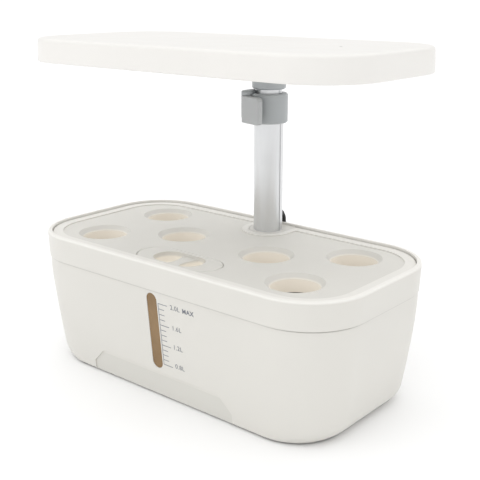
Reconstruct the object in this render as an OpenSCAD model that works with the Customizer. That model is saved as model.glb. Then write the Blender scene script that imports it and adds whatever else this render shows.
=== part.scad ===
// Countertop hydroponic garden, millimetres, +Z up.
// A tapered water tank carries a lift-off lid with six planting holes and a small
// filler hatch. A telescopic mast at the back of the tank carries a flat grow lamp.
// Origin: on the table, under the centre of the tank. Front is -Y.

/* [Tank] */
// Length of the tank at its rim
tank_l = 271; // [255:1:300]
// Depth of the tank at its rim, front to back
tank_w = 140; // [134:1:160]
// Height of the rim above the table
tank_h = 99; // [94:1:115]
// Corner radius of the rim
rim_r = 42.5; // [38:0.5:46]
// How far each end draws in from the rim to the foot
taper_end = 16.2; // [12:0.2:18]
// How far the front and the back draw in from the rim to the foot
taper_side = 8.8; // [7:0.2:10]
// Thickness of the tank wall
wall = 2.4; // [2:0.1:3]
// Thickness of the rim above the ledge that carries the lid
rim_t = 3.2; // [2.8:0.1:3.6]
// Height of the band below the rim
band_h = 19; // [15:0.5:21]
// How far the band stands out from the wall
band_step = 1; // [0.6:0.1:1.4]
// How far the rubber feet lift the tank
foot_lift = 1.2; // [0.8:0.1:2]
// Radius of a rubber foot
foot_r = 6; // [5:0.5:8]

/* [Water window] */
// Centre of the window, measured from the mast
window_x = -4; // [-8:0.5:0]
// Width of the window
window_w = 9.4; // [8:0.2:12]
// Length of the window, measured up the wall
window_l = 55.6; // [46:0.2:57]
// Height of the window's lower end above the table
window_z = 22.6; // [18:0.2:24]

/* [Toe recess] */
// Centre of the shallow recess along the foot of the front
toe_x = -5.5; // [-8:0.5:0]
// Width of the recess along its straight top
toe_top_w = 110; // [90:1:120]
// Width of the recess at the foot
toe_foot_w = 132; // [124:1:140]
// Height of the recess, measured up the wall
toe_h = 16.4; // [13:0.2:18]
// Depth of the recess
toe_depth = 0.8; // [0.5:0.1:1.2]

/* [Lid] */
// How far the planting field lies below the rim
deck_drop = 2.4; // [2:0.1:3]
// How far the lid's border stands above the planting field
border_h = 0.7; // [0.4:0.1:1]
// Width of the border round the planting field
border_w = 7.5; // [6:0.5:9]
// Depth of the skirt below the lid
skirt_h = 5; // [4:0.5:8]
// Distance of the corner holes from the middle, along the tank
hole_x = 87.6; // [84:0.2:92]
// Distance of the corner holes from the middle, front to back
hole_y = 33; // [31:0.5:35]
// Distance of the two inner holes from the middle
inner_hole_x = 38.6; // [37:0.2:42]
// Diameter of a planting hole at the surface
hole_top_d = 38; // [35:0.5:40]
// Diameter of a planting hole below its chamfer
hole_d = 31.5; // [28:0.5:33]
// Depth of a planting hole's collar
collar_depth = 12; // [9:0.5:14]

/* [Filler hatch] */
// Length of the hatch
hatch_l = 68.6; // [64:0.2:70]
// Width of the hatch, front to back
hatch_w = 28; // [26:0.2:28]
// Distance of the hatch's centre in front of the middle
hatch_y = 44.8; // [44.4:0.2:45.2]
// Length of the finger recess in the hatch
grip_l = 40; // [36:0.5:46]
// Width of the finger recess
grip_w = 22; // [18:0.5:22]
// Depth of the finger recess
grip_depth = 7; // [5:0.5:9]
// Width of the grip bar at its waist
grip_bar = 8; // [6:0.5:10]
// Depth of the grip bar's top below the hatch
grip_bar_drop = 2.2; // [1.5:0.1:3]

/* [Mast] */
// Distance of the mast behind the middle of the tank
mast_y = 50.3; // [50:0.1:51]
// Outside diameter of the fixed outer tube
outer_d = 21.2; // [20.6:0.1:21.6]
// Wall of the outer tube
outer_t = 1; // [0.8:0.1:1.1]
// Outside diameter of the sliding inner tube
inner_d = 18.4; // [17.8:0.1:18.6]
// Wall of the inner tube
inner_t = 1; // [0.8:0.1:1.4]
// Width of the key groove along each side of both tubes
groove_w = 1.4; // [1.2:0.1:1.8]
// Depth of the key groove
groove_t = 0.5; // [0.4:0.05:0.6]
// How far the lamp can be raised
mast_travel = 100; // [80:1:110]

/* [Clamp] */
// Height of the clamp's foot above the planting field
clamp_z = 80.5; // [76:0.5:84]
// Height of the clamp
clamp_h = 21; // [19:0.5:24]
// Outside diameter of the clamp collar
clamp_d = 27.2; // [26:0.1:27.6]
// Sideways place of the lever's pin, left of the mast
pin_x = 9; // [8.6:0.1:9.4]
// Radius of the lever's hub and of the hinge ear round the pin
knuckle_r = 3.4; // [3.2:0.1:3.6]
// How far the hinge ear stands above the collar
ear_rise = 2.2; // [1.4:0.1:2.4]
// Radius of the lever's pin
pin_r = 1.25; // [1:0.05:1.5]
// Thickness of the lever's paddle
paddle_t = 3.5; // [3:0.1:4]
// Length of the paddle from the pin to its free end
paddle_l = 20; // [17:0.2:21]
// Angle by which the shut lever stands off the front
paddle_set = 15; // [10:1:18]

/* [Lamp] */
// Length of the lamp
lamp_l = 274.6; // [260:0.2:300]
// Depth of the lamp, front to back
lamp_w = 132.8; // [131:0.2:139]
// Thickness of the lamp
lamp_h = 16; // [15:0.5:20]
// Corner radius of the lamp
lamp_r = 40; // [36:0.5:44]
// Height of the lamp's underside above the planting field
lamp_z = 124.2; // [122:0.2:127]
// Wall of the lamp housing
lamp_t = 2; // [1.8:0.1:2.4]
// Rounding of the lamp's upper edge
lamp_edge = 2.6; // [2:0.1:3.5]
// Length of the light window in the underside
light_l = 216; // [200:1:220]
// Depth of the light window, front to back
light_w = 76; // [70:1:76]
// Number of light sources along the lamp
led_cols = 10; // [6:1:12]
// Number of rows of light sources
led_rows = 4; // [2:1:5]

/* [Power lead] */
// Diameter of the lead
cord_d = 3.2; // [2.8:0.1:3.2]
// Height of the lead's outlet in the mast above the planting field
outlet_h = 10.5; // [10.2:0.1:10.8]
// Distance between neighbouring turns of the stored coil, centre to centre
coil_pitch = 4.2; // [4.15:0.05:4.5]
// Length of the wall adapter
adapter_l = 46; // [40:1:56]
// Width of the wall adapter
adapter_w = 29; // [24:1:29]
// Thickness of the wall adapter
adapter_h = 26; // [24:1:30]

/* [Hidden] */
$fn = 64;
corner_steps = 12;
fit = 0.08;         // running fit of the telescopic mast, on the radius
seat = 0.2;         // height at which a lift-off piece rests above its seat
gap = 0.4;          // gap round a lift-off piece
skin = 1;           // how far a cut runs past the face it opens

// Heights
deck_z = tank_h - deck_drop;
band_z = tank_h - band_h;
lid_t = 2.2;
ledge_z = deck_z - lid_t;
floor_t = 2.6;
floor_z = foot_lift + floor_t;
foot_edge = 1.8;
wall_foot_z = foot_lift + foot_edge;

// Half sizes of the tank, as [along X, along Y, corner radius]
rim = [tank_l / 2, tank_w / 2, rim_r];
band_draft = 0.7;
band_foot = rim - [1, 1, 1] * band_draft;
wall_top = band_foot - [1, 1, 1] * band_step;
wall_foot = rim - [taper_end, taper_side, taper_side * 0.85];
rim_inside = rim - [1, 1, 1] * rim_t;
ledge_w = 2;
ledge_inside = rim_inside - [1, 1, 1] * ledge_w;
lean = atan((wall_top[1] - wall_foot[1]) / (band_z - wall_foot_z));

// Lid
lid_size = rim_inside - [1, 1, 1] * gap;
field = lid_size - [1, 1, 1] * border_w;
skirt_t = 1.6;
skirt = ledge_inside - [1, 1, 1] * (gap + 0.3);
hole_chamfer = (hole_top_d - hole_d) / 2;
collar_t = 1.6;
hole_places = [[-hole_x, -hole_y], [-hole_x, hole_y], [hole_x, -hole_y], [hole_x, hole_y],
    [-inner_hole_x, 0], [inner_hole_x, 0]];
hatch_t = 1.6;
hatch_edge = 0.4;
hatch_ledge = 1.3;
hatch_frame_w = 1.9;
hatch_frame_t = 1.4;
grip_wall = 1.1;

// Mast and clamp
outer_r = outer_d / 2;
inner_r = inner_d / 2;
socket_wall = 3.3;
notch_r = outer_r + socket_wall + gap;
notch_border = 5;
clamp_foot = deck_z + clamp_z;
clamp_top = clamp_foot + clamp_h;
clamp_shoulder = clamp_top - 14;
mast_hold = 17.5;   // length of the inner tube that stays in the outer tube
bush_h = 6;
inner_foot = clamp_shoulder - mast_hold - mast_travel;
outer_foot_z = inner_foot - bush_h - 2;
clamp_bore = inner_r + fit;
clamp_r = clamp_d / 2;
hinge_gap = 0.3;
outlet_z = deck_z + outlet_h;
channel_w = cord_d + 1.2;
channel_y = 7;
channel_drop = 4;
pin_y = -(sqrt(pow(clamp_r + knuckle_r + gap, 2) - pin_x * pin_x));
pin_at = [-pin_x, mast_y + pin_y];
knuckle_h = 3.4;
low_knuckle_r = 2.3;
cam_throw = 0.35;
shoe_w = 5.4;
shoe_foot = clamp_shoulder + 0.6;
shoe_room_h = clamp_top - 4.7 - shoe_foot;
shoe_angle = atan2(pin_y, -pin_x);
lever_foot = clamp_foot + 0.6;
lever_top = clamp_top - 1.2;
ear_foot = lever_top + hinge_gap;
ear_top = clamp_top + ear_rise;

// Lamp
lamp_foot = deck_z + lamp_z;
lamp_top = lamp_foot + lamp_h;
lamp = [lamp_l / 2, lamp_w / 2, lamp_r];
lamp_inside = lamp - [1, 1, 1] * lamp_t;
base_t = 2;
base_rise = 0.4;
base_z = lamp_foot + base_rise;
base_top = base_z + base_t;
ceiling_z = lamp_top - lamp_t;
board_t = 1.6;
board_z = base_top + 3.2;
board_top = board_z + board_t;
led_h = 1.2;
led_size = 5;
led_margin = [15, 13];
light_y = mast_y - 24 - light_w / 2;
light_r = 12;
panel_lip = 2;
head_r = 12.6;
head_flange = [21.5, 11.5, 3];
head_flange_t = 1.6;
head_foot = clamp_top + 3;
inner_top = lamp_foot + 3.8;
control = [22, 9];
control_at = [56, mast_y - 4.3];
control_z = base_top + 4.9;
screw_r = 1.5;
screw_head_r = 2.8;
boss_r = 3.4;
base_screw_places = concat([[0, 9 - lamp[1]]],
    [for (x = [-1, 1], y = [-1, 1]) [x * (lamp[0] - 32.3), y * (lamp[1] - 10.4)]]);
flange_screw_places = [[-17, mast_y], [17, mast_y]];
control_screw_places = [for (x = [-17, 17]) control_at + [x, 0]];

// --- Outlines and lofts ---------------------------------------------------------

// One ring of a loft: a rounded rectangle with half sizes s[0], s[1] and radius s[2]
function ring(s, z) = [for (q = [0 : 3], k = [0 : corner_steps])
    let (a = 90 * q + 90 * k / corner_steps,
        cx = (s[0] - s[2]) * (q == 0 || q == 3 ? 1 : -1),
        cy = (s[1] - s[2]) * (q < 2 ? 1 : -1))
    [cx + s[2] * cos(a), cy + s[2] * sin(a), z]];

// Sizes of the tapered wall at height z
function wall_at(z) = wall_foot + (wall_top - wall_foot) * (z - wall_foot_z) / (band_z - wall_foot_z);

// Faces of a closed skin over rings of m points
function skin_faces(rings, m) = concat(
    [[for (i = [0 : m - 1]) i]],
    [[for (i = [m - 1 : -1 : 0]) (rings - 1) * m + i]],
    [for (j = [0 : rings - 2], i = [0 : m - 1], t = [0, 1])
        let (a = j * m + i, b = j * m + (i + 1) % m)
        t == 0 ? [a, a + m, b + m] : [a, b + m, b]]);

// Solid through a list of [height, sizes]
module loft(sections) {
    points = [for (s = sections) each ring(s[1], s[0])];
    polyhedron(points, skin_faces(len(sections), 4 * (corner_steps + 1)));
}

module rounded_rect(s) {
    square([2 * s[0], 2 * (s[1] - s[2])], center = true);
    square([2 * (s[0] - s[2]), 2 * s[1]], center = true);
    for (x = [-1, 1], y = [-1, 1])
        translate([x * (s[0] - s[2]), y * (s[1] - s[2])])
            circle(s[2]);
}

// Slot outline of full length l and width w, along X
module slot(l, w) {
    square([l - w, w], center = true);
    for (x = [-1, 1])
        translate([x * (l - w) / 2, 0])
            circle(w / 2);
}

// U outline round the mast, open to the back
module mast_u(r, back) {
    translate([0, mast_y])
        circle(r);
    translate([-r, mast_y])
        square([2 * r, back - mast_y]);
}

module tube(r, t, z, h) {
    translate([0, mast_y, z])
        difference() {
            cylinder(r = r, h = h);
            translate([0, 0, -skin])
                cylinder(r = r - t, h = h + 2 * skin);
        }
}

// Places its children on the front wall: X along the tank, Z up the wall, Y inward
module on_front_wall() {
    translate([0, -wall_foot[1], wall_foot_z])
        rotate([lean, 0, 0])
            children();
}

// Turns a 2D outline into a plate on the front wall, between two depths
module wall_plate(from, to) {
    on_front_wall()
        translate([0, to, 0])
            rotate([90, 0, 0])
                linear_extrude(to - from)
                    children();
}

module window_slot(margin) {
    translate([window_x, (window_z - wall_foot_z) / cos(lean) + window_l / 2])
        rotate(90)
            slot(window_l + 2 * margin, window_w + 2 * margin);
}

// --- Tank -----------------------------------------------------------------------

module tank_outside() {
    round_h = 1.6;
    loft(concat(
        [for (a = [0, 30, 60, 90])
            [foot_lift + foot_edge * (1 - cos(a)), wall_foot - [1, 1, 1] * foot_edge * (1 - sin(a))]],
        [[band_z, wall_top],
        [band_z + 0.5, band_foot]],
        [for (a = [0, 30, 60, 90])
            [tank_h - round_h * (1 - sin(a)), rim - [1, 1, 1] * round_h * (1 - cos(a))]]));
}

module tank_inside() {
    loft([[floor_z, wall_at(floor_z) - [1, 1, 1] * (wall + 2)],
        [floor_z + 2, wall_at(floor_z + 2) - [1, 1, 1] * wall],
        [band_z, wall_top - [1, 1, 1] * wall],
        [ledge_z + 0.01, ledge_inside]]);
    translate([0, 0, ledge_z])
        linear_extrude(tank_h)
            rounded_rect(rim_inside);
}

module toe_outline() {
    top = toe_h;
    r = 6;
    foot = -foot_edge - skin;
    slope = (toe_foot_w - toe_top_w) / 2;
    translate([toe_x, 0])
        polygon(concat(
            [[-toe_foot_w / 2, foot], [toe_foot_w / 2, foot]],
            [[toe_foot_w / 2, top - slope]],
            [for (a = [0 : 15 : 45]) [toe_top_w / 2 + r * sin(45 - a) - r * 0.4, top - r * (1 - cos(45 - a))]],
            [for (a = [0 : 15 : 45]) [-toe_top_w / 2 - r * sin(a) + r * 0.4, top - r * (1 - cos(a))]],
            [[-toe_foot_w / 2, top - slope]]));
}

module foot_places() {
    for (x = [-1, 1], y = [-1, 1])
        translate([x * (wall_foot[0] - wall_foot[2] * 0.75), y * (wall_foot[1] - wall_foot[2] * 0.75), 0])
            children();
}

module tank_shell() {
    pad_seat = 1;
    color("whitesmoke")
        difference() {
            union() {
                difference() {
                    tank_outside();
                    tank_inside();
                }
                // Pillar that carries the mast
                intersection() {
                    tank_outside();
                    translate([0, 0, foot_lift + 1])
                        linear_extrude(deck_z + border_h - foot_lift - 1)
                            mast_u(outer_r + socket_wall, tank_w / 2 - 1);
                }
            }
            translate([0, mast_y, outer_foot_z])
                cylinder(r = outer_r, h = tank_h);
            // Channel that lets the lead down over the rim
            translate([-channel_w / 2, mast_back + channel_y, ledge_z - channel_drop])
                cube([channel_w, tank_w, tank_h]);
            wall_plate(-skin, wall + 2)
                window_slot(0);
            wall_plate(-skin, toe_depth)
                toe_outline();
            foot_places()
                translate([0, 0, -skin])
                    cylinder(r = foot_r, h = foot_lift + pad_seat + skin);
        }
}

module foot_pads() {
    pad_h = foot_lift + 1;
    color("gray")
        foot_places()
            difference() {
                cylinder(r = foot_r - 0.1, h = pad_h);
                // Shallow ring groove in the resting face
                translate([0, 0, -skin])
                    difference() {
                        cylinder(r = foot_r - 2, h = skin + 0.3);
                        translate([0, 0, -skin])
                            cylinder(r = foot_r - 3, h = 3 * skin);
                    }
            }
}

// Height, along the wall's normal, of its inner face
wall_depth = wall * cos(lean);
gasket_t = 0.6;
flange_w = 1.6;

module window_lens() {
    color("sienna", 0.8) {
        wall_plate(0.3, wall_depth + gasket_t)
            window_slot(-0.1);
        wall_plate(wall_depth + gasket_t, wall_depth + gasket_t + 1)
            window_slot(flange_w);
    }
}

module window_gasket() {
    color("dimgray")
        wall_plate(wall_depth + 0.02, wall_depth + gasket_t)
            difference() {
                window_slot(flange_w);
                window_slot(0.1);
            }
}

// --- Lid and hatch --------------------------------------------------------------

module lid() {
    foot = ledge_z + seat;
    edge = 0.8;
    color("whitesmoke")
        difference() {
            union() {
                loft(concat([[foot, lid_size]],
                    [for (a = [0, 30, 60, 90])
                        [deck_z + border_h - edge * (1 - sin(a)), lid_size - [1, 1, 1] * edge * (1 - cos(a))]]));
                translate([0, 0, foot - skirt_h])
                    linear_extrude(skirt_h + 0.5)
                        difference() {
                            rounded_rect(skirt);
                            rounded_rect(skirt - [1, 1, 1] * skirt_t);
                        }
                // Frame that carries the hatch
                translate([0, -hatch_y, foot - hatch_frame_t])
                    linear_extrude(hatch_frame_t + 0.5)
                        slot(hatch_l + 2 * hatch_frame_w, hatch_w + 2 * hatch_frame_w);
                for (p = hole_places)
                    translate([p[0], p[1], deck_z - collar_depth])
                        cylinder(r = hole_d / 2 + collar_t, h = collar_depth - 1);
                for (p = hole_places)
                    translate([p[0], p[1], foot - hole_chamfer])
                        cylinder(r1 = hole_d / 2 + collar_t - 0.1, r2 = hole_top_d / 2 + 0.6, h = hole_chamfer + 0.5);
            }
            // Planting field, sunk below the border
            translate([0, 0, deck_z])
                linear_extrude(border_h + skin)
                    difference() {
                        rounded_rect(field);
                        mast_u(notch_r + notch_border, tank_w);
                    }
            for (p = hole_places)
                translate([p[0], p[1], 0]) {
                    translate([0, 0, deck_z - collar_depth - skin])
                        cylinder(r = hole_d / 2, h = collar_depth + 2 * skin);
                    translate([0, 0, deck_z - hole_chamfer])
                        cylinder(r1 = hole_d / 2, r2 = hole_top_d / 2 + 0.1, h = hole_chamfer + 0.1);
                }
            // Hatch seat, its chamfer and the opening below it
            translate([0, -hatch_y, deck_z - hatch_t - seat])
                linear_extrude(lid_t)
                    slot(hatch_l + 2 * gap, hatch_w + 2 * gap);
            translate([0, -hatch_y, deck_z - hatch_edge])
                widening_slot(hatch_l + 2 * gap, hatch_w + 2 * gap, hatch_edge, hatch_edge);
            translate([0, -hatch_y, 0])
                linear_extrude(tank_h)
                    slot(hatch_l - 2 * hatch_ledge, hatch_w - 2 * hatch_ledge);
            // Notch that clears the mast's pillar
            translate([0, 0, foot - skirt_h - skin])
                linear_extrude(tank_h)
                    mast_u(notch_r, tank_w);
        }
}

// Slot outline that is raised by h and grows by grow on every side
module widening_slot(l, w, h, grow) {
    thin = 0.01;
    hull() {
        linear_extrude(thin)
            slot(l, w);
        translate([0, 0, h])
            linear_extrude(thin)
                slot(l + 2 * grow, w + 2 * grow);
    }
}

// Finger recess: two pockets with a waisted bar between them
module grip_pockets() {
    r = 18;
    intersection() {
        slot(grip_l, grip_w);
        for (x = [-1, 1])
            translate([x * (grip_bar / 2 + r), 0])
                circle(r);
    }
}

module hatch() {
    color("whitesmoke")
        translate([0, -hatch_y, 0])
            difference() {
                union() {
                    translate([0, 0, deck_z - hatch_t])
                        linear_extrude(hatch_t - hatch_edge)
                            slot(hatch_l, hatch_w);
                    translate([0, 0, deck_z - hatch_edge - 0.01])
                        widening_slot(hatch_l, hatch_w, hatch_edge, -hatch_edge);
                    translate([0, 0, deck_z - grip_depth - grip_wall])
                        linear_extrude(grip_depth)
                            slot(grip_l + 2 * grip_wall, grip_w + 2 * grip_wall);
                }
                translate([0, 0, deck_z - grip_depth])
                    linear_extrude(tank_h)
                        grip_pockets();
                translate([0, 0, deck_z - grip_bar_drop])
                    linear_extrude(tank_h)
                        slot(grip_l, grip_w);
            }
}

// --- Mast and clamp -------------------------------------------------------------

module grooves(r, z, h) {
    for (x = [-1, 1])
        translate([x * r, mast_y, z + h / 2])
            cube([2 * groove_t, groove_w, h], center = true);
}

module outer_tube() {
    color("silver")
        difference() {
            tube(outer_r, outer_t, outer_foot_z, clamp_shoulder - outer_foot_z);
            grooves(outer_r, deck_z + border_h, clamp_foot - deck_z - border_h);
            translate([0, mast_y, outlet_z])
                rotate([-90, 0, 0])
                    cylinder(r = relief_neck + 0.1, h = 2 * outer_r);
        }
}

module inner_tube() {
    color("silver")
        difference() {
            tube(inner_r, inner_t, inner_foot, inner_top - inner_foot);
            grooves(inner_r, inner_foot - skin, inner_top - inner_foot + 2 * skin);
            // Slot that passes the lead at every height of the lamp
            translate([-wire_slot_w / 2, mast_y, inner_foot - skin])
                cube([wire_slot_w, inner_r + skin, outlet_z + 3.5 - inner_foot + skin]);
        }
}

module guide_bush() {
    color("darkgray")
        translate([0, mast_y, inner_foot - bush_h])
            difference() {
                union() {
                    cylinder(r = outer_r - outer_t - fit, h = bush_h);
                    cylinder(r = inner_r - inner_t, h = bush_h + 8);
                }
                translate([0, 0, -skin])
                    cylinder(r = 6, h = bush_h + 8 + 2 * skin);
            }
}

// Places its children round the lever's pin
module at_pin() {
    translate([pin_at[0], pin_at[1], 0])
        children();
}

module clamp_collar() {
    key_t = groove_t - 0.15;
    key_w = groove_w - 0.3;
    web = [-1.3, low_knuckle_r];
    color("gray")
        difference() {
            union() {
                translate([0, mast_y, clamp_foot])
                    rotate_extrude()
                        polygon([[0, 0], [clamp_r - 1, 0], [clamp_r, 1], [clamp_r, clamp_h - 1],
                            [clamp_r - 1, clamp_h], [0, clamp_h]]);
                // Boss beside the collar
                translate([-clamp_r + 0.5, mast_y - clamp_r * 0.75, clamp_foot])
                    linear_extrude(clamp_h)
                        rounded_corner_block(clamp_r - 1, clamp_r * 0.7, 2);
                // Ear that covers the lever's hub and stands above the collar
                hull() {
                    translate([0, 0, ear_foot])
                        ear(ear_top - ear_foot - 0.8, 0);
                    translate([0, 0, ear_foot])
                        ear(ear_top - ear_foot, -0.8);
                }
                // Lower knuckle, hidden behind the paddle
                translate([pin_at[0], pin_at[1], lever_foot]) {
                    cylinder(r = low_knuckle_r, h = knuckle_h);
                    translate([web[0], 0, 0])
                        cube([web[1] - web[0], clamp_r * 0.5, knuckle_h]);
                }
            }
            translate([0, mast_y, clamp_foot - skin])
                cylinder(r = clamp_bore, h = ear_top - clamp_foot + 2 * skin);
            translate([0, mast_y, clamp_foot - skin])
                cylinder(r = outer_r, h = clamp_shoulder - clamp_foot + skin);
            at_pin()
                translate([0, 0, lever_foot - skin])
                    cylinder(r = pin_r, h = ear_top - 1 - lever_foot + skin);
            // Window for the shoe, on the line from the mast to the pin
            translate([0, mast_y, shoe_foot])
                rotate(shoe_angle)
                    translate([0, -shoe_w / 2, 0])
                        cube([clamp_r + 3, shoe_w, shoe_room_h]);
            // Room for the lever's cam
            at_pin()
                translate([0, 0, lever_foot + knuckle_h])
                    cylinder(r = knuckle_r + cam_throw + hinge_gap, h = ear_foot - lever_foot - knuckle_h);
        }
    color("gray")
        for (x = [-1, 1])
            translate([x * (inner_r + 0.3 - key_t / 2), mast_y, clamp_top - 2])
                cube([key_t + 0.6, key_w, 4], center = true);
}

// Ear round the pin and the corner of the boss, of height h, drawn out by grow
module ear(h, grow) {
    linear_extrude(h)
        hull() {
            translate(pin_at)
                circle(knuckle_r + grow);
            translate([-clamp_r + 3.5, mast_y - clamp_r / 2])
                circle(3 + grow);
        }
}

// Block of l by w whose two outer corners on the left are rounded
module rounded_corner_block(l, w, r) {
    translate([r, 0])
        square([l - r, w]);
    translate([0, r])
        square([l, w - 2 * r]);
    for (y = [r, w - r])
        translate([r, y])
            circle(r);
}

module clamp_shoe() {
    color("dimgray")
        translate([0, mast_y, shoe_foot])
            difference() {
                rotate(shoe_angle)
                    translate([0, -shoe_w / 2 + 0.1, 0])
                        cube([clamp_r + gap - cam_throw - 0.3, shoe_w - 0.2, shoe_room_h - 0.2]);
                translate([0, 0, -skin])
                    cylinder(r = clamp_bore, h = shoe_room_h + 2 * skin);
            }
}

module lever_pin() {
    color("silver")
        at_pin()
            translate([0, 0, lever_foot])
                cylinder(r = pin_r, h = ear_top - 1 - lever_foot);
}

// Upright plate of height h, its two free corners rounded, shrunk by edge round its outline
module paddle(h, corner, t, edge) {
    translate([0, t, 0])
        rotate([90, 0, 0])
            linear_extrude(t)
                hull() {
                    translate([0, edge])
                        square([corner, h - 2 * edge]);
                    for (z = [corner, h - corner])
                        translate([paddle_l - corner, z])
                            circle(corner - edge);
                }
}

module cam_lever() {
    paddle_edge = 0.7;
    h = lever_top - lever_foot;
    hub_foot = knuckle_h + hinge_gap;
    hub_h = h - hub_foot - 0.1;
    corner = 3.2;
    color("darkgray")
        translate([pin_at[0], pin_at[1], lever_foot]) {
            // Hub, with the cam's high side turned to the shoe
            translate([0, 0, hub_foot])
                difference() {
                    union() {
                        cylinder(r = knuckle_r, h = hub_h);
                        rotate(shoe_angle + 180)
                            translate([cam_throw, 0, 0])
                                cylinder(r = knuckle_r, h = hub_h);
                    }
                    translate([0, 0, -skin])
                        cylinder(r = pin_r + 0.05, h = h + 2 * skin);
                }
            // Paddle, hollowed round the pin so that it hides the lower knuckle
            difference() {
                rotate(-paddle_set)
                    translate([-0.4, -knuckle_r - 0.15, 0])
                        hull() {
                            translate([0, paddle_edge, 0])
                                paddle(h, corner, paddle_t - paddle_edge, 0);
                            paddle(h, corner, paddle_t, paddle_edge);
                        }
                translate([0, 0, -skin])
                    cylinder(r = low_knuckle_r + hinge_gap, h = h + 2 * skin);
            }
        }
}

// Wire from the outlet up through the mast and over to the control board
wire_r = 1.2;
wire_slot_w = 5.2;
wire_rest_z = control_z + board_t + wire_r;
wire_end_y = control_at[1] - 5.5;
wire_path = [[0, mast_y + 9, outlet_z], [0, mast_y + 6, outlet_z + 0.4],
    [0, mast_y + 3, outlet_z + 2.6], [0, mast_y + 0.8, outlet_z + 6.4], [0, mast_y, outlet_z + 12],
    [0, mast_y, lamp_foot + 3], [1.2, mast_y - 0.9, lamp_foot + 6.4],
    [4.4, mast_y - 3.4, lamp_foot + 9], [9, mast_y - 6.4, wire_rest_z],
    [15, mast_y - 8.4, wire_rest_z + 0.2], [24, wire_end_y + 0.4, wire_rest_z + 0.2],
    [34, wire_end_y, wire_rest_z + 0.1], [46, wire_end_y, wire_rest_z]];

module lamp_wire() {
    color("black")
        swept(wire_path, [for (p = wire_path) wire_r], 8, [1, 1, 0]);
}

module head_socket() {
    color("gray")
        difference() {
            union() {
                translate([0, mast_y, head_foot])
                    rotate_extrude()
                        polygon([[0, 0], [head_r - 1.5, 0], [head_r - 0.5, 1],
                            [head_r, base_z - head_foot], [head_r, base_top - head_foot],
                            [0, base_top - head_foot]]);
                translate([0, mast_y, base_top])
                    linear_extrude(head_flange_t)
                        rounded_rect(head_flange);
            }
            for (p = flange_screw_places)
                translate([p[0], p[1], base_top - skin])
                    cylinder(r = screw_r + 0.2, h = head_flange_t + 2 * skin);
            translate([0, mast_y, head_foot - skin])
                cylinder(r = inner_r, h = inner_top - head_foot + skin);
            translate([0, mast_y, head_foot])
                cylinder(r = inner_r - inner_t, h = 3 * lamp_h);
        }
}

// --- Lamp -----------------------------------------------------------------------

module lamp_shell() {
    draft = 0.6;
    top = lamp - [1, 1, 1] * draft;
    color("white") {
        difference() {
            loft(concat([[lamp_foot, lamp - [1, 1, 1] * 0.5], [lamp_foot + 0.6, lamp]],
                [for (a = [0 : 15 : 90])
                    [lamp_top - lamp_edge * (1 - sin(a)), top - [1, 1, 1] * lamp_edge * (1 - cos(a))]]));
            translate([0, 0, lamp_foot - skin])
                linear_extrude(ceiling_z - lamp_foot + skin)
                    rounded_rect(lamp_inside);
            translate([status_at[0], status_at[1], ceiling_z - skin])
                cylinder(r = status_r, h = lamp_t + 2 * skin);
        }
        // Screw bosses that carry the base
        for (p = base_screw_places)
            boss(p, base_top);
        for (p = flange_screw_places)
            boss(p, base_top + head_flange_t);
        for (p = board_screw_places)
            boss(p, board_top);
        for (p = control_screw_places)
            boss(p, control_z + board_t);
    }
}

module boss(p, foot) {
    translate([p[0], p[1], foot])
        difference() {
            cylinder(r = boss_r, h = ceiling_z - foot + 0.5);
            translate([0, 0, -skin])
                cylinder(r = screw_r, h = skin + 6);
        }
}

status_at = [93.4, 0];
status_r = 1.3;
board = [light_l / 2 + 2, light_w / 2 + 1];
board_screw_places = [for (x = [-1, 0, 1], y = [-1, 1])
    [x * (board[0] - 6), light_y + y * (board[1] - 6)]];

module lamp_base() {
    color("white")
        translate([0, 0, base_z])
            difference() {
                linear_extrude(base_t)
                    difference() {
                        rounded_rect(lamp_inside - [1, 1, 1] * 0.2);
                        translate([0, light_y])
                            rounded_rect([light_l / 2, light_w / 2, light_r]);
                        translate([0, mast_y])
                            circle(head_r + 0.1);
                        for (p = concat(base_screw_places, flange_screw_places))
                            translate(p)
                                circle(screw_r + 0.2);
                    }
                translate([0, light_y, base_t - 1])
                    linear_extrude(base_t)
                        rounded_rect([light_l / 2, light_w / 2, light_r] + [1, 1, 1] * panel_lip);
                for (p = concat(base_screw_places, flange_screw_places))
                    translate([p[0], p[1], -skin])
                        cylinder(r = screw_head_r + 0.2, h = skin + 1);
            }
}

module light_panel() {
    panel = [light_l / 2, light_w / 2, light_r] - [1, 1, 1] * 0.2;
    color("ghostwhite", 0.7)
        translate([0, light_y, 0]) {
            translate([0, 0, base_z + 0.2])
                linear_extrude(base_t - 1.2)
                    rounded_rect(panel);
            translate([0, 0, base_top - 1])
                linear_extrude(1)
                    rounded_rect(panel + [1, 1, 1] * panel_lip);
        }
}

module led_board() {
    color("gainsboro")
        translate([0, 0, board_z])
            linear_extrude(board_t)
                difference() {
                    translate([0, light_y])
                        square([2 * board[0], 2 * board[1]], center = true);
                    for (p = board_screw_places)
                        translate(p)
                            circle(screw_r + 0.1);
                }
}

module led_chips() {
    first = [light_l / 2, light_w / 2] - led_margin;
    step = [2 * first[0] / (led_cols - 1), 2 * first[1] / (led_rows - 1)];
    color("khaki")
        for (i = [0 : led_cols - 1], j = [0 : led_rows - 1])
            translate([i * step[0] - first[0], light_y + j * step[1] - first[1], board_z - led_h / 2])
                cube([led_size, led_size, led_h], center = true);
}

module control_board() {
    color("darkgreen")
        translate([0, 0, control_z])
            linear_extrude(board_t)
                difference() {
                    translate(control_at)
                        square(2 * control, center = true);
                    for (p = control_screw_places)
                        translate(p)
                            circle(screw_r + 0.1);
                }
}

module status_light() {
    color("lightgray")
        translate([status_at[0], status_at[1], board_top])
            cylinder(r = status_r - 0.05, h = lamp_top - board_top - 0.1);
}

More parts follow.
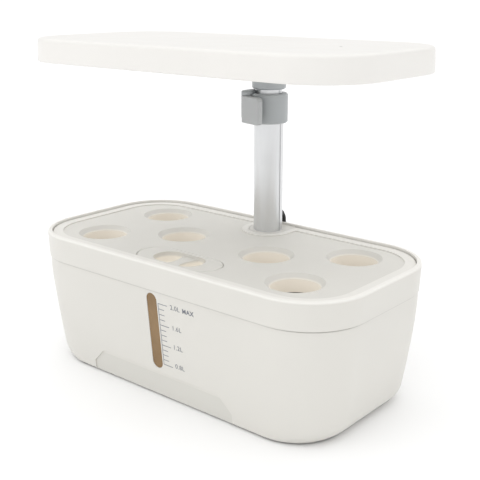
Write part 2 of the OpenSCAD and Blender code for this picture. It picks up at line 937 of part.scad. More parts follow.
module screw(p, foot, l) {
    head_h = 1.2;
    translate([p[0], p[1], foot])
        difference() {
            union() {
                translate([0, 0, -head_h])
                    cylinder(r = screw_head_r, h = head_h);
                cylinder(r = screw_r - 0.05, h = l);
            }
            // Cross recess
            for (a = [0, 90])
                rotate(a)
                    translate([0, 0, -head_h])
                        cube([2.6, 0.7, 1], center = true);
        }
}

module board_screws() {
    color("silver") {
        for (p = board_screw_places)
            screw(p, board_z, board_t + 5);
        for (p = control_screw_places)
            screw(p, control_z, board_t + 5);
    }
}

module base_screws() {
    color("silver")
        for (p = concat(base_screw_places, flange_screw_places))
            screw(p, base_z + 1, base_t + 4);
}

// --- Power lead -----------------------------------------------------------------

// Strain relief at the mast: a taper that starts to bend over the rim
relief_bend = 6.5;
relief_turn = 40;
relief_neck = cord_d / 2 + 0.55;
mast_back = mast_y + outer_r;
bend_y = mast_back + 2.6;
relief_path = concat(
    [for (y = [mast_back - outer_t + 0.1, mast_back + 0.05, mast_back + 0.06]) [0, y, outlet_z]],
    [for (a = [0 : 10 : relief_turn])
        [0, bend_y + relief_bend * sin(a), outlet_z - relief_bend * (1 - cos(a))]]);
relief_radii = concat([relief_neck, relief_neck], [for (i = [0 : 5]) relief_neck + 0.7 - i * 0.18]);

// Route of the lead over the rim, down behind the tank and along the table to the coil
route = [[0, 68.1, 105.2], [0, 69.2, 103.6], [0, 69.9, 101.8], [0, 70.1, 99.5], [0, 70.5, 96.8],
    [0, 71.2, 93.6], [0, 71.9, 90.4], [0, 72.4, 87], [0, 72.7, 82], [0, 72.8, 76], [0, 72.8, 69],
    [0, 72.8, 62], [0, 72.8, 55], [0, 72.8, 48], [0, 72.8, 41], [0, 72.8, 34], [0, 72.8, 27],
    [0, 72.9, 20], [0, 73.7, 14], [0, 75.6, 8.6], [-0.2, 78.8, 4.4], [-0.7, 83, 2.2], [-1.8, 87.4, 1.7],
    [-4, 91.6, 1.7], [-6.8, 94.8, 1.7], [-9.2, 97.8, 1.9], [-10.9, 101, 2.2], [-11.4, 104.8, 2.4]];

// Coil in four layers: in and out in turn, each climbing in the half turn where it reverses
coil_mid_r = 17.6;
coil_layer = 2.5;
coil_layers = 4;
coil_tail = 0.25;
coil_rings = 24;
coil_r0 = coil_mid_r + coil_pitch * coil_layer / 2;
coil_r1 = coil_mid_r - coil_pitch * coil_layer / 2;
coil_turns = coil_layers * coil_layer + (coil_layers - 1) / 2 + coil_tail;
coil_at = route[len(route) - 1] + [-coil_r0, cord_d, 0];
function ease(t) = (1 - cos(180 * t)) / 2;
function coil_level(t) = min(coil_layers - 1, floor(t / (coil_layer + 0.5)));
function coil_step(t) = t - coil_level(t) * (coil_layer + 0.5);
function coil_last(t) = coil_level(t) == coil_layers - 1;
function coil_wound(t) = coil_last(t) ? coil_step(t) : min(coil_layer, coil_step(t));
function coil_r(t) = coil_level(t) % 2 == 0
    ? coil_r0 - coil_pitch * coil_wound(t)
    : coil_r1 + coil_pitch * coil_wound(t);
function coil_z(t) = coil_pitch * (coil_level(t) + ease(2 * (coil_step(t) - coil_wound(t))));
function coil_point(t) = coil_at + [coil_r(t) * cos(360 * t), coil_r(t) * sin(360 * t), coil_z(t)];
coil_count = round(coil_turns * coil_rings);
coil_wind = [for (i = [0 : coil_count]) coil_point(i / coil_rings)];
coil_end = coil_wind[coil_count] + [cord_d, 0, 0];
coil_path = concat([coil_at + [coil_r0, -cord_d, 0]], coil_wind, [coil_end]);

// Least gap between turns, measured on every second point of the winding
coil_gap = min([for (i = [0 : 2 : coil_count], j = [i + coil_rings / 2 : 2 : coil_count])
    norm(coil_wind[i] - coil_wind[j])]) - cord_d;
echo(coil_gap = coil_gap);

// Lead from the coil to the wall adapter, measured from the coil's end
tail_steps = [[0, 0, 0], [5, 0, 0], [10, 0.5, -0.3], [15, 1.5, -0.7], [20, 2.6, -1.2],
    [25, 3.3, -1.6], [29, 3.5, -1.7], [32, 3.5, -1.7]];
tail = [for (p = tail_steps) coil_end + p];
adapter_relief_l = 10;
adapter_at = tail[len(tail) - 1] + [adapter_relief_l, 0, 0];

// Round tube along a path with a radius at each point, of s sides. No stretch of the
// path runs along side, which sets how the rings are turned.
function unit(v) = v / norm(v);
function tangent(p, i) = unit(p[min(i + 1, len(p) - 1)] - p[max(i - 1, 0)]);
function tube_ring(c, d, r, s, side) =
    let (u = unit(cross(side, d)), w = cross(d, u))
    [for (k = [0 : s - 1]) c + r * (u * cos(360 * (k + 0.5) / s) + w * sin(360 * (k + 0.5) / s))];

module swept(path, radii, s, side) {
    points = [for (i = [0 : len(path) - 1]) each tube_ring(path[i], tangent(path, i), radii[i], s, side)];
    polyhedron(points, skin_faces(len(path), s));
}

module lead(path, s, side) {
    color("black")
        swept(path, [for (p = path) cord_d / 2], s, side);
}

module strain_relief() {
    color("black")
        swept(relief_path, relief_radii, 12, [1, 0, 0]);
}

module power_cord() {
    lead(route, 8, [1, 0, 0]);
}

module cord_coil() {
    lead(coil_path, 6, [0, 0, 1]);
}

module adapter_lead() {
    lead(tail, 8, [0, 0, 1]);
}

// Strap round the coil's turns
module cord_tie() {
    strap_t = 0.6;
    strap_w = 5;
    slack = 0.25;
    room = [coil_pitch * coil_layer / 2 + cord_d / 2 + slack,
        coil_at[2] + coil_pitch * (coil_layers - 1) + cord_d / 2 + slack - strap_t];
    color("dimgray")
        translate([coil_at[0], coil_at[1], 0])
            rotate(135)
                translate([coil_mid_r, strap_w / 2, strap_t + room[1] / 2])
                    rotate([90, 0, 0])
                        linear_extrude(strap_w)
                            difference() {
                                rounded_rect([room[0] + strap_t, room[1] / 2 + strap_t, 1.6]);
                                rounded_rect([room[0], room[1] / 2, 1]);
                            }
}

module adapter_body() {
    half = [adapter_l / 2, adapter_w / 2, 5];
    edge = 2;
    color("black")
        translate([adapter_at[0] + adapter_l / 2, adapter_at[1], 0])
            loft(concat(
                [for (a = [0, 45, 90]) [edge * (1 - cos(a)), half - [1, 1, 1] * edge * (1 - sin(a))]],
                [for (a = [0, 45, 90])
                    [adapter_h - edge * (1 - sin(a)), half - [1, 1, 1] * edge * (1 - cos(a))]]));
}

// Ribbed taper between the lead and the adapter
module adapter_relief() {
    ribs = 4;
    rib = adapter_relief_l / ribs;
    r0 = cord_d / 2 + 0.4;
    color("black")
        translate(tail[len(tail) - 1])
            rotate([0, 90, 0])
                rotate_extrude()
                    polygon(concat([[0, 0]],
                        [for (i = [0 : ribs - 1], k = [0, 1])
                            [r0 + i * 0.35 + k * 0.01, (i + k * 0.6) * rib]],
                        [[r0 + ribs * 0.35, adapter_relief_l], [0, adapter_relief_l]]));
}

module adapter_blades() {
    blade = [17, 1.5, 6.3];
    spacing = 12.7;
    hole_r = 1.5;
    color("silver")
        translate([adapter_at[0] + adapter_l, adapter_at[1], adapter_at[2] - blade[2] / 2])
            for (y = [-1, 1])
                translate([0, y * spacing / 2 - blade[1] / 2, 0])
                    difference() {
                        cube(blade);
                        translate([blade[0] - 4, -skin, blade[2] / 2])
                            rotate([-90, 0, 0])
                                cylinder(r = hole_r, h = blade[1] + 2 * skin);
                    }
}

tank_shell();
foot_pads();
window_lens();
window_gasket();
outer_tube();
clamp_collar();
clamp_shoe();
lever_pin();
cam_lever();
lid();
hatch();
inner_tube();
guide_bush();
lamp_wire();
head_socket();
lamp_shell();
lamp_base();
light_panel();
led_board();
led_chips();
control_board();
status_light();
board_screws();
base_screws();
strain_relief();
power_cord();
cord_coil();
cord_tie();
adapter_lead();
adapter_body();
adapter_relief();
adapter_blades();
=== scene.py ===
import math

import bmesh
import bpy
from mathutils import Matrix, Vector


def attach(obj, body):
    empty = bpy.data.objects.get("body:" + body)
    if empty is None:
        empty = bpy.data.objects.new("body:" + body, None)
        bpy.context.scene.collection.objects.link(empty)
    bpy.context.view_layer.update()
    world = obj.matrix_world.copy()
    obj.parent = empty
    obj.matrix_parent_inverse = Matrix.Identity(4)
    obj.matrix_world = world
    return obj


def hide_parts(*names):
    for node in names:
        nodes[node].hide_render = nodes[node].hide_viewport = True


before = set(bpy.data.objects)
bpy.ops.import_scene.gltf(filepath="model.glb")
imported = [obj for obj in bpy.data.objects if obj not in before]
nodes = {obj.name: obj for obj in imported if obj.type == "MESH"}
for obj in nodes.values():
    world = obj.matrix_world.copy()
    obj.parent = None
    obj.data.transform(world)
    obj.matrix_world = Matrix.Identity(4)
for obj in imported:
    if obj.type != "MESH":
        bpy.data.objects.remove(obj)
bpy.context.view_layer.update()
scene = bpy.context.scene
MM = 0.001

# --- Camera --------------------------------------------------------------------

cam_data = bpy.data.cameras.new("camera")
cam_data.lens = 64.487
cam_data.sensor_width = 36
cam_data.clip_start = 0.01
cam_data.clip_end = 100
cam = bpy.data.objects.new("camera", cam_data)
scene.collection.objects.link(cam)
cam.location = (0.383977, -0.436350, 0.271492)
cam.rotation_mode = "QUATERNION"
cam.rotation_quaternion = Vector((-0.61890, 0.73243, -0.28372)).to_track_quat("-Z", "Y")
scene.camera = cam

# --- Front wall of the tank -------------------------------------------------------

# Its foot and its top, as millimetres along Y and above the table
FOOT = (-61.2, 3.0)
TOP = (-68.3, 80.0)
lean = math.atan2(FOOT[0] - TOP[0], TOP[1] - FOOT[1])
wall_up = Vector((0, -math.sin(lean), math.cos(lean)))
wall_out = Vector((0, -math.cos(lean), -math.sin(lean)))


def on_wall(x, z, proud=0.09):
    """A point on the front wall, in metres, from millimetres along and above the table."""
    t = (z - FOOT[1]) / (TOP[1] - FOOT[1])
    return (Vector((x, FOOT[0] + (TOP[0] - FOOT[0]) * t, z)) + wall_out * proud) * MM


# --- Materials -----------------------------------------------------------------


class Tree:
    """A material's nodes, with short calls to make and link them."""

    def __init__(self, name):
        self.mat = bpy.data.materials.new(name)
        self.mat.use_nodes = True
        self.nt = self.mat.node_tree
        self.nt.nodes.clear()
        self.out = self.add("ShaderNodeOutputMaterial")
        self.bsdf = self.add("ShaderNodeBsdfPrincipled")
        self.link(self.bsdf, "BSDF", self.out, "Surface")
        self.coord = self.add("ShaderNodeTexCoord")

    def add(self, kind, **values):
        node = self.nt.nodes.new(kind)
        for key, value in values.items():
            if key in node.inputs:
                node.inputs[key].default_value = value
            else:
                setattr(node, key, value)
        return node

    def link(self, a, out, b, into):
        self.nt.links.new(a.outputs[out], b.inputs[into])

    def noise(self, scale, detail=3.0, stretch=(1, 1, 1)):
        mapping = self.add("ShaderNodeMapping")
        mapping.inputs["Scale"].default_value = stretch
        self.link(self.coord, "Object", mapping, "Vector")
        tex = self.add("ShaderNodeTexNoise", Scale=scale, Detail=detail)
        self.link(mapping, "Vector", tex, "Vector")
        return tex

    def ramp(self, source, out, low, high, a, b):
        """A map of source from low..high to a..b."""
        node = self.add("ShaderNodeMapRange")
        for key, value in (("From Min", low), ("From Max", high), ("To Min", a), ("To Max", b)):
            node.inputs[key].default_value = value
        self.link(source, out, node, "Value")
        return node

    def colours(self, source, dark, light, low=0.35, high=0.65):
        ramp = self.add("ShaderNodeValToRGB")
        ramp.color_ramp.elements[0].position = low
        ramp.color_ramp.elements[0].color = (*dark, 1)
        ramp.color_ramp.elements[1].position = high
        ramp.color_ramp.elements[1].color = (*light, 1)
        self.link(source, "Fac", ramp, "Fac")
        self.link(ramp, "Color", self.bsdf, "Base Color")
        return ramp

    def roughness(self, source, a, b):
        self.link(self.ramp(source, "Fac", 0.3, 0.7, a, b), "Result", self.bsdf, "Roughness")

    def bump(self, source, strength, distance, below=None):
        node = self.add("ShaderNodeBump", Strength=strength, Distance=distance)
        self.link(source, "Fac", node, "Height")
        if below is not None:
            self.link(below, "Normal", node, "Normal")
        self.link(node, "Normal", self.bsdf, "Normal")
        return node

    def axes(self):
        """The place in the object, split into X, Y and Z."""
        node = self.add("ShaderNodeSeparateXYZ")
        self.link(self.coord, "Object", node, "Vector")
        return node

    def tint(self, mask, tone, blend="MIX"):
        """Lays a tone over the base colour where the mask is 1."""
        node = self.add("ShaderNodeMix", data_type="RGBA", blend_type=blend)
        base = self.bsdf.inputs["Base Color"]
        self.nt.links.new(mask.outputs[0], node.inputs["Factor"])
        self.nt.links.new(base.links[0].from_socket, node.inputs[6])
        node.inputs[7].default_value = (*tone, 1)
        self.nt.links.new(node.outputs[2], base)


def srgb(r, g, b):
    """A colour read in 0-255 steps, as linear values."""
    return tuple(
        c / 12.92 if c <= 0.04045 else ((c + 0.055) / 1.055) ** 2.4
        for c in (r / 255, g / 255, b / 255)
    )


def plastic(name, colour, rough, grain=1500, depth=0.00002, spread=0.015):
    """Moulded plastic: a slight mottle in its colour, uneven gloss and fine grain."""
    t = Tree(name)
    broad = t.noise(9, 2)
    fine = t.noise(grain, 2)
    mid = t.noise(60, 3)
    t.colours(broad, tuple(c * (1 - spread) for c in colour), tuple(min(1, c * (1 + spread)) for c in colour))
    t.roughness(mid, rough - 0.04, rough + 0.05)
    t.bump(fine, 0.25, depth, t.bump(mid, 0.1, depth * 6))
    t.bsdf.inputs["IOR"].default_value = 1.49
    return t


# Painted highlight: a lighter colour mixed onto the rounded top of the tank's rim and onto the lid's raised
# border
PAINTED_HIGHLIGHT = srgb(238, 236, 231)


def shell_material():
    """The tank's plastic, with painted shade in the shallow hollow along the front's foot and under the band,
    and a painted highlight on the rim.
    """
    t = plastic("white_shell", srgb(220, 218, 212), 0.38, 1400, 0.00001)
    recess_left, recess_right, recess_top = -0.0725, 0.0615, 0.017
    edge = 0.0005
    band_foot, rim_edge = 0.0799, 0.0972
    axes = t.axes()
    along = t.add("ShaderNodeVectorMath", operation="DOT_PRODUCT")
    t.link(t.coord, "Object", along, 0)
    along.inputs[1].default_value = wall_out
    face = wall_out.dot(on_wall(0, 40, 0))
    behind = t.ramp(along, "Value", face - 0.0003, face - 0.0005, 0, 1)
    bounds = [
        t.ramp(axes, "X", recess_right, recess_right + 2 * edge, 1, 0),
        t.ramp(axes, "X", recess_left, recess_left - 2 * edge, 1, 0),
        t.ramp(axes, "Z", recess_top, recess_top + edge, 1, 0),
    ]
    painted_recess_shade = behind
    for bound in bounds:
        both = t.add("ShaderNodeMath", operation="MULTIPLY")
        t.link(painted_recess_shade, 0, both, 0)
        t.link(bound, 0, both, 1)
        painted_recess_shade = both
    # Painted shade: a strip about a millimetre tall just under the band is multiplied darker, like a contact
    # shadow
    painted_band_shade = t.add("ShaderNodeMath", operation="COMPARE")
    painted_band_shade.inputs[1].default_value = band_foot
    painted_band_shade.inputs[2].default_value = edge
    t.link(axes, "Z", painted_band_shade, 0)
    # Painted shade: the shallow hollow along the front's foot is multiplied a little darker
    t.tint(painted_recess_shade, (0.93, 0.935, 0.93), "MULTIPLY")
    t.tint(painted_band_shade, (0.84, 0.84, 0.84), "MULTIPLY")
    # Painted highlight on the rounded top of the rim, from rim_edge upwards
    t.tint(t.ramp(axes, "Z", rim_edge, rim_edge + 0.0012, 0, 1), PAINTED_HIGHLIGHT)
    return t.mat


def lid_material(name, strength):
    """The lid's plastic, with a painted glow on its parts under the deck that stands in for light bounced
    into its holes and pockets, and a painted highlight on its raised border.
    """
    t = plastic(name, srgb(218, 216, 210), 0.5, 1800, 0.00002)
    plate_foot, border_foot = 0.0943, 0.0967
    axes = t.axes()
    # Painted glow: emission on the parts under the deck, standing in for light bounced into the holes and
    # pockets
    painted_glow = t.ramp(axes, "Z", plate_foot, plate_foot - 0.0015, 0, strength)
    t.link(painted_glow, "Result", t.bsdf, "Emission Strength")
    t.bsdf.inputs["Emission Color"].default_value = (*srgb(255, 238, 214), 1)
    # Painted highlight on the lid's raised border
    t.tint(t.ramp(axes, "Z", border_foot, border_foot + 0.0004, 0, 0.6), PAINTED_HIGHLIGHT)
    return t.mat


white_shell = shell_material()
# The second argument sets how strong the painted glow is
white_lid = lid_material("white_lid", 0.28)
white_hatch = lid_material("white_hatch", 0.19)
white_lamp = plastic("white_lamp", srgb(233, 231, 227), 0.34, 1400, 0.00001).mat
grey_plastic = plastic("grey_plastic", srgb(175, 179, 181), 0.42, 1600, 0.00002, 0.03).mat
grey_lever = plastic("grey_lever", srgb(185, 187, 188), 0.42, 1600, 0.00002, 0.03).mat
grey_rubber = plastic("grey_rubber", srgb(96, 96, 95), 0.75, 1500, 0.00003, 0.05).mat
dark_rubber = plastic("dark_rubber", srgb(40, 40, 40), 0.7, 1500, 0.00003, 0.06).mat
black_plastic = plastic("black_plastic", srgb(30, 30, 31), 0.42, 1600, 0.00003, 0.06).mat
smoked = plastic("smoked", srgb(26, 27, 30), 0.5, 900, 0.00001, 0.05).mat
black_lead = plastic("black_lead", srgb(24, 24, 25), 0.5, 1200, 0.00003, 0.06).mat
green_board = plastic("green_board", srgb(30, 88, 52), 0.35, 900, 0.00001, 0.05).mat
board_white = plastic("board_white", srgb(238, 239, 238), 0.35, 900, 0.00001, 0.01).mat


def metal(name, colour, rough, stretch=(1, 1, 0.02)):
    """Drawn and anodised metal: fine lines along it, and a faint mottle."""
    t = Tree(name)
    lines = t.noise(2500, 2, stretch)
    broad = t.noise(25, 3)
    t.colours(broad, tuple(c * 0.95 for c in colour), colour)
    t.roughness(lines, rough - 0.06, rough + 0.07)
    t.bump(lines, 0.12, 0.00002)
    t.bsdf.inputs["Metallic"].default_value = 1.0
    return t


mast_metal = metal("mast_metal", srgb(222, 223, 224), 0.36).mat
steel = metal("steel", srgb(190, 190, 192), 0.3, (1, 1, 1)).mat
brass = metal("brass", srgb(205, 178, 110), 0.3, (0.05, 1, 1)).mat


def window_material():
    t = Tree("tinted_window")
    broad = t.noise(30, 3)
    t.colours(broad, srgb(140, 110, 70), srgb(152, 122, 82))
    t.roughness(broad, 0.16, 0.24)
    t.bump(t.noise(900, 2), 0.1, 0.00002)
    t.bsdf.inputs["Transmission Weight"].default_value = 0.15
    t.bsdf.inputs["IOR"].default_value = 1.49
    return t.mat


def diffuser_material():
    t = Tree("diffuser")
    fine = t.noise(700, 2)
    t.colours(t.noise(20, 2), srgb(236, 236, 233), srgb(244, 244, 242))
    t.roughness(fine, 0.45, 0.55)
    t.bump(fine, 0.4, 0.0001)
    t.bsdf.inputs["Transmission Weight"].default_value = 0.3
    return t.mat


def led_material():
    t = Tree("led")
    t.colours(t.noise(300, 2), srgb(228, 200, 110), srgb(240, 216, 130))
    t.roughness(t.noise(500, 2), 0.25, 0.4)
    return t.mat


def ink_material():
    t = Tree("ink")
    t.colours(t.noise(800, 2), srgb(112, 116, 126), srgb(124, 128, 138))
    t.roughness(t.noise(900, 2), 0.4, 0.55)
    return t.mat


window_tint = window_material()
diffuser = diffuser_material()
led = led_material()
ink = ink_material()

LOOKS = {
    white_shell: ["tank_shell"],
    white_lid: ["lid"],
    white_hatch: ["hatch"],
    white_lamp: ["lamp_shell", "lamp_base"],
    grey_plastic: ["clamp_collar", "head_socket", "guide_bush"],
    grey_lever: ["cam_lever"],
    grey_rubber: ["foot_pads", "cord_tie"],
    dark_rubber: ["window_gasket", "clamp_shoe"],
    black_plastic: ["adapter_body"],
    black_lead: ["strain_relief", "lamp_wire", "adapter_relief", "power_cord", "cord_coil", "adapter_lead"],
    mast_metal: ["outer_tube", "inner_tube"],
    steel: ["lever_pin", "board_screws", "base_screws"],
    brass: ["adapter_blades"],
    window_tint: ["window_lens"],
    diffuser: ["light_panel"],
    smoked: ["status_light"],
    board_white: ["led_board"],
    led: ["led_chips"],
    green_board: ["control_board"],
}

for material, names in LOOKS.items():
    for name in names:
        slots = nodes[name].material_slots
        for s in slots:
            s.link = "OBJECT"
            s.material = material

# --- Power lead ----------------------------------------------------------------

CORD_D = 3.2
ROUTE = [
    (0, 68.1, 105.2), (0, 69.2, 103.6), (0, 69.9, 101.8), (0, 70.1, 99.5), (0, 70.5, 96.8),
    (0, 71.2, 93.6), (0, 71.9, 90.4), (0, 72.4, 87), (0, 72.7, 82), (0, 72.8, 76), (0, 72.8, 69),
    (0, 72.8, 62), (0, 72.8, 55), (0, 72.8, 48), (0, 72.8, 41), (0, 72.8, 34), (0, 72.8, 27),
    (0, 72.9, 20), (0, 73.7, 14), (0, 75.6, 8.6), (-0.2, 78.8, 4.4), (-0.7, 83, 2.2), (-1.8, 87.4, 1.7),
    (-4, 91.6, 1.7), (-6.8, 94.8, 1.7), (-9.2, 97.8, 1.9), (-10.9, 101, 2.2), (-11.4, 104.8, 2.4),
]
TAIL = [
    (5, 0, 0), (10, 0.5, -0.3), (15, 1.5, -0.7), (20, 2.6, -1.2), (25, 3.3, -1.6), (29, 3.5, -1.7),
    (32, 3.5, -1.7),
]
PITCH = 4.2
LAYER = 2.5
LAYERS = 4
R0 = 17.6 + PITCH * LAYER / 2
R1 = 17.6 - PITCH * LAYER / 2
TURNS = LAYERS * LAYER + (LAYERS - 1) / 2 + 0.25
COIL_AT = (ROUTE[-1][0] - R0, ROUTE[-1][1] + CORD_D, ROUTE[-1][2])


def coil_point(t):
    level = min(LAYERS - 1, math.floor(t / (LAYER + 0.5)))
    step = t - level * (LAYER + 0.5)
    wound = step if level == LAYERS - 1 else min(LAYER, step)
    r = R0 - PITCH * wound if level % 2 == 0 else R1 + PITCH * wound
    z = PITCH * (level + (1 - math.cos(math.pi * 2 * (step - wound))) / 2)
    a = 2 * math.pi * t
    return (COIL_AT[0] + r * math.cos(a), COIL_AT[1] + r * math.sin(a), COIL_AT[2] + z)


def rounded(points, parts=3):
    """Points on a smooth curve through the given ones."""
    out = []
    last = len(points) - 1
    for i in range(last):
        p0, p1, p2, p3 = (Vector(points[min(max(k, 0), last)]) for k in (i - 1, i, i + 1, i + 2))
        for k in range(parts):
            t = k / parts
            out.append(
                0.5 * (2 * p1 + (p2 - p0) * t + (2 * p0 - 5 * p1 + 4 * p2 - p3) * t * t
                       + (3 * p1 - p0 - 3 * p2 + p3) * t ** 3)
            )
    out.append(Vector(points[last]))
    return out


rings = round(TURNS * 48)
wind = [coil_point(TURNS * i / rings) for i in range(rings + 1)]
coil_end = Vector(wind[-1]) + Vector((CORD_D, 0, 0))
tail = [coil_end] + [coil_end + Vector(p) for p in TAIL]
line = rounded(ROUTE) + [Vector(p) for p in wind] + rounded(tail)
line = [p * MM for p in line]

curve = bpy.data.curves.new("power_lead", "CURVE")
curve.dimensions = "3D"
curve.bevel_depth = CORD_D / 2 * MM
curve.bevel_resolution = 3
curve.use_fill_caps = True
spline = curve.splines.new("POLY")
spline.points.add(len(line) - 1)
for point, p in zip(spline.points, line):
    point.co = (*p, 1)
spline.use_smooth = True
power_lead = bpy.data.objects.new("power_lead", curve)
scene.collection.objects.link(power_lead)
curve.materials.append(black_lead)
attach(power_lead, "tank")
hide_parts("power_cord", "cord_coil", "adapter_lead")

# --- Shading of the carried-over nodes -------------------------------------------


def soft_edges(name, width, degrees=30, segments=2):
    """Rounds a node's sharp edges a little, so that they catch the light, and smooths the rest."""
    obj = nodes[name]
    join = obj.modifiers.new("flat_faces", "DECIMATE")
    join.decimate_type = "DISSOLVE"
    join.angle_limit = math.radians(0.3)
    bevel = obj.modifiers.new("soft_edges", "BEVEL")
    bevel.width = width * MM
    bevel.segments = segments
    bevel.limit_method = "ANGLE"
    bevel.angle_limit = math.radians(degrees)
    bevel.use_clamp_overlap = True
    bevel.miter_outer = "MITER_ARC"
    smooth(name, degrees)


def smooth(name, degrees=35):
    """Smooth shading of a node."""
    smooth_object(nodes[name], degrees)


def smooth_object(obj, degrees):
    """Smooth shading with hard edges where faces meet at more than an angle."""
    shade = obj.modifiers.new("smooth", "NODES")
    shade.node_group = smooth_group(degrees)
    weigh = obj.modifiers.new("weigh", "WEIGHTED_NORMAL")
    weigh.mode = "FACE_AREA"
    weigh.keep_sharp = True


GROUPS = {}


def smooth_group(degrees):
    if degrees in GROUPS:
        return GROUPS[degrees]
    g = bpy.data.node_groups.new("smooth_shading", "GeometryNodeTree")
    g.interface.new_socket("Geometry", in_out="INPUT", socket_type="NodeSocketGeometry")
    g.interface.new_socket("Geometry", in_out="OUTPUT", socket_type="NodeSocketGeometry")
    into = g.nodes.new("NodeGroupInput")
    out = g.nodes.new("NodeGroupOutput")
    merge = g.nodes.new("GeometryNodeMergeByDistance")
    merge.inputs["Distance"].default_value = 0.000002
    angle = g.nodes.new("GeometryNodeInputMeshEdgeAngle")
    test = g.nodes.new("FunctionNodeCompare")
    test.data_type = "FLOAT"
    test.operation = "GREATER_THAN"
    test.inputs[1].default_value = math.radians(degrees)
    faces = g.nodes.new("GeometryNodeSetShadeSmooth")
    edges = g.nodes.new("GeometryNodeSetShadeSmooth")
    edges.domain = "EDGE"
    edges.inputs["Shade Smooth"].default_value = False
    g.links.new(into.outputs[0], merge.inputs["Geometry"])
    g.links.new(merge.outputs["Geometry"], faces.inputs["Geometry"])
    g.links.new(faces.outputs["Geometry"], edges.inputs["Geometry"])
    g.links.new(angle.outputs["Unsigned Angle"], test.inputs[0])
    g.links.new(test.outputs["Result"], edges.inputs["Selection"])
    g.links.new(edges.outputs["Geometry"], out.inputs[0])
    GROUPS[degrees] = g
    return g


for name in ("tank_shell", "lid", "hatch"):
    soft_edges(name, 0.3)
soft_edges("lamp_shell", 0.7, segments=3)
for name in ("clamp_collar", "cam_lever", "head_socket", "lamp_base", "adapter_body"):
    soft_edges(name, 0.25)
for name in ("outer_tube", "inner_tube", "strain_relief", "adapter_relief", "cord_tie", "foot_pads",
             "guide_bush", "lamp_wire", "lever_pin", "status_light", "window_lens", "base_screws"):
    smooth(name)

# --- Ends of the tank --------------------------------------------------------------

# Half sizes of the solid wall at its top, as (along X, along Y, corner radius), and what they lose
# down to its foot
WALL_TOP = (133.8, -TOP[0], 40.8)
WALL_DRAFT = (14.5, FOOT[0] - TOP[0], 5.78)
WALL_EDGE = 1.8
STAND = 1.2
# The fuller end: its draft, the power of its curve, the radius of its foot edge, and its corner radius
END_DRAFT = 8.84
END_CURVE = 1.43
END_EDGE = 10.5
END_CORNER = 40.3
END_CORNER_DRAFT = 7.27
SKIN_T = 1
LEVELS = (
    STAND, 1.35, 1.6, 1.9, 2.3, 2.8, 3.4, 4.2, 5.2, 6.4, 7.8, 9.4, 11, 14, 18, 24, 30, 37, 44, 51, 58, 65, 72,
    79.9,
)
ARC_POINTS = 13


def edge_inset(r, z):
    """How far an edge of radius r at the tank's foot stands in at height z."""
    up = z - STAND
    return r - math.sqrt(r * r - (r - up) ** 2) if up < r else 0


def end_outline(size, x):
    """Half an outline round one end, from x at the front to x at the back."""
    half_x, half_y, r = size
    quarter = [math.pi / 2 * i / (ARC_POINTS - 1) for i in range(ARC_POINTS)]
    front = [(half_x - r + r * math.sin(a), -half_y + r - r * math.cos(a)) for a in quarter]
    return [(x, -half_y)] + front + [(px, -py) for px, py in reversed(front)] + [(x, half_y)]


def end_sizes(z):
    """Half sizes of the solid wall and of the fuller end at height z."""
    fall = min(1, (TOP[1] - z) / (TOP[1] - FOOT[1]))
    foot = edge_inset(WALL_EDGE, z)
    wall = [top - draft * fall - foot for top, draft in zip(WALL_TOP, WALL_DRAFT)]
    along = WALL_TOP[0] - END_DRAFT * fall ** END_CURVE - edge_inset(END_EDGE, z)
    corner = END_CORNER - END_CORNER_DRAFT * fall ** 0.5 - foot
    return wall, [max(wall[0] + 0.05, along), wall[1], corner]


def end_skin(name, side):
    """A skin over one end of the tank, a little fuller than straight draft, with a soft edge at its foot."""
    verts = []
    for z in LEVELS:
        wall, full = end_sizes(z)
        for size in (full, [v - SKIN_T for v in wall]):
            verts += [Vector((side * x, y, z)) * MM for x, y in end_outline(size, wall[0] - wall[2])]
    n = 2 * ARC_POINTS + 2
    faces = []
    for j in range(len(LEVELS) - 1):
        a, b = 2 * n * j, 2 * n * (j + 1)
        for i in range(n - 1):
            faces.append((a + i, a + i + 1, b + i + 1, b + i))
            faces.append((a + n + i, b + n + i, b + n + i + 1, a + n + i + 1))
        faces.append((a, b, b + n, a + n))
        faces.append((a + n - 1, a + 2 * n - 1, b + 2 * n - 1, b + n - 1))
    last = len(verts) - 2 * n
    for i in range(n - 1):
        faces.append((i, n + i, n + i + 1, i + 1))
        faces.append((last + i, last + i + 1, last + n + i + 1, last + n + i))
    mesh = bpy.data.meshes.new(name)
    mesh.from_pydata(verts, [], faces)
    bm = bmesh.new()
    bm.from_mesh(mesh)
    bmesh.ops.recalc_face_normals(bm, faces=bm.faces)
    bm.to_mesh(mesh)
    bm.free()
    obj = bpy.data.objects.new(name, mesh)
    scene.collection.objects.link(obj)
    mesh.materials.append(white_shell)
    smooth_object(obj, 35)
    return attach(obj, "tank")


end_skin("tank_end_right", 1)
end_skin("tank_end_left", -1)

# --- Water marks -----------------------------------------------------------------

MARK_X = 2.0
MARK_Z = (71.9, 56.5, 41.7, 27.1)
HALF_LINE = 0.22
LONG_MARK = 8.3
SHORT_MARK = 5.2


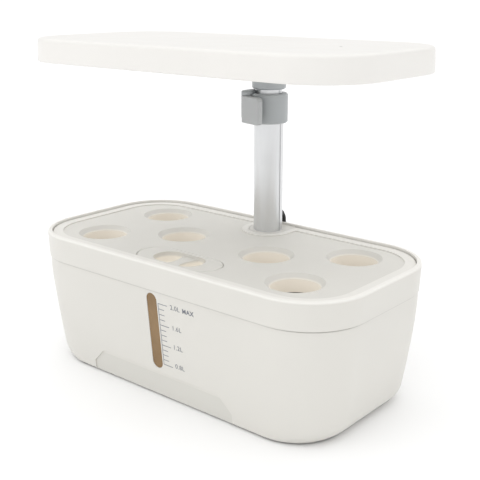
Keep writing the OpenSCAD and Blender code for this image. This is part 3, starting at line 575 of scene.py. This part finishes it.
def marks():
    """The scale beside the window: a line with a long mark at each volume and three short ones between."""
    verts = []
    faces = []

    def bar(x0, z0, x1, z1):
        n = len(verts)
        verts.extend([on_wall(x0, z0), on_wall(x1, z0), on_wall(x1, z1), on_wall(x0, z1)])
        faces.append((n, n + 1, n + 2, n + 3))

    def mark(z, length):
        bar(MARK_X + HALF_LINE, z - HALF_LINE, MARK_X + length, z + HALF_LINE)

    bar(MARK_X - HALF_LINE, MARK_Z[-1] - HALF_LINE, MARK_X + HALF_LINE, MARK_Z[0] + HALF_LINE)
    for z in MARK_Z:
        mark(z, LONG_MARK)
    for high, low in zip(MARK_Z, MARK_Z[1:]):
        for k in (1, 2, 3):
            mark(high + (low - high) * k / 4, SHORT_MARK)
    mesh = bpy.data.meshes.new("water_marks")
    mesh.from_pydata(verts, [], faces)
    obj = bpy.data.objects.new("water_marks", mesh)
    scene.collection.objects.link(obj)
    mesh.materials.append(ink)
    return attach(obj, "tank")


def label(name, words, x, z, size=4.7, weight=0.01):
    """Words on the front wall, from x on, with their middle at height z."""
    data = bpy.data.curves.new(name, "FONT")
    data.body = words
    data.size = size * MM
    data.offset = weight * MM
    data.space_character = 1.08
    data.align_y = "CENTER"
    obj = bpy.data.objects.new(name, data)
    scene.collection.objects.link(obj)
    data.materials.append(ink)
    obj.location = on_wall(x, z)
    obj.rotation_mode = "QUATERNION"
    turn = Matrix((Vector((1, 0, 0)), wall_up, wall_out)).transposed()
    obj.rotation_quaternion = turn.to_quaternion()
    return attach(obj, "tank")


marks()
label("mark_20", "2.0L", 13.0, 71.8)
label("mark_max", "MAX", 23.8, 71.8, 4.5, 0.09)
label("mark_16", "1.6L", 12.9, 57.0)
label("mark_12", "1.2L", 12.4, 42.9)
label("mark_08", "0.8L", 12.7, 28.8)

# --- Stage -----------------------------------------------------------------------

floor_mat = Tree("floor")
floor_mat.colours(floor_mat.noise(3, 2), (0.95, 0.95, 0.95), (0.97, 0.97, 0.97))
floor_mat.roughness(floor_mat.noise(4, 2), 0.85, 0.95)
bpy.ops.mesh.primitive_plane_add(size=80, location=(0, 0, 0))
floor = bpy.context.object
floor.name = "floor"
floor.data.materials.append(floor_mat.mat)


def studio_world():
    """A plain backdrop, bright overhead and at the horizon and a little dimmer between."""
    world = bpy.data.worlds.new("world")
    scene.world = world
    world.use_nodes = True
    nt = world.node_tree
    background = nt.nodes["Background"]
    background.inputs["Strength"].default_value = 1.33
    direction = nt.nodes.new("ShaderNodeTexCoord")
    parts = nt.nodes.new("ShaderNodeSeparateXYZ")
    tone = nt.nodes.new("ShaderNodeValToRGB")
    horizon, overhead = tone.color_ramp.elements
    horizon.position, horizon.color = 0.04, (0.76, 0.76, 0.76, 1)
    overhead.position, overhead.color = 0.66, (1, 1, 1, 1)
    for place, level in ((0.15, 0.58), (0.46, 0.56)):
        tone.color_ramp.elements.new(place).color = (level, level, level, 1)
    nt.links.new(direction.outputs["Generated"], parts.inputs["Vector"])
    nt.links.new(parts.outputs["Z"], tone.inputs["Fac"])
    nt.links.new(tone.outputs["Color"], background.inputs["Color"])


def area(name, at, to, size, power):
    """A soft light at one place that faces another."""
    data = bpy.data.lights.new(name, "AREA")
    data.shape = "RECTANGLE"
    data.size, data.size_y = size
    data.energy = power
    obj = bpy.data.objects.new(name, data)
    scene.collection.objects.link(obj)
    obj.location = at
    obj.rotation_mode = "QUATERNION"
    obj.rotation_quaternion = (Vector(to) - Vector(at)).to_track_quat("-Z", "Y")
    return obj


studio_world()
area("key", (-0.7, -1.2, 1.0), (0, 0, 0.12), (1.0, 0.8), 2.0)
area("back", (0.2, 1.3, 1.2), (0, 0, 0.1), (1.4, 0.8), 1.0)

scene.view_settings.view_transform = "Standard"
scene.view_settings.look = "None"
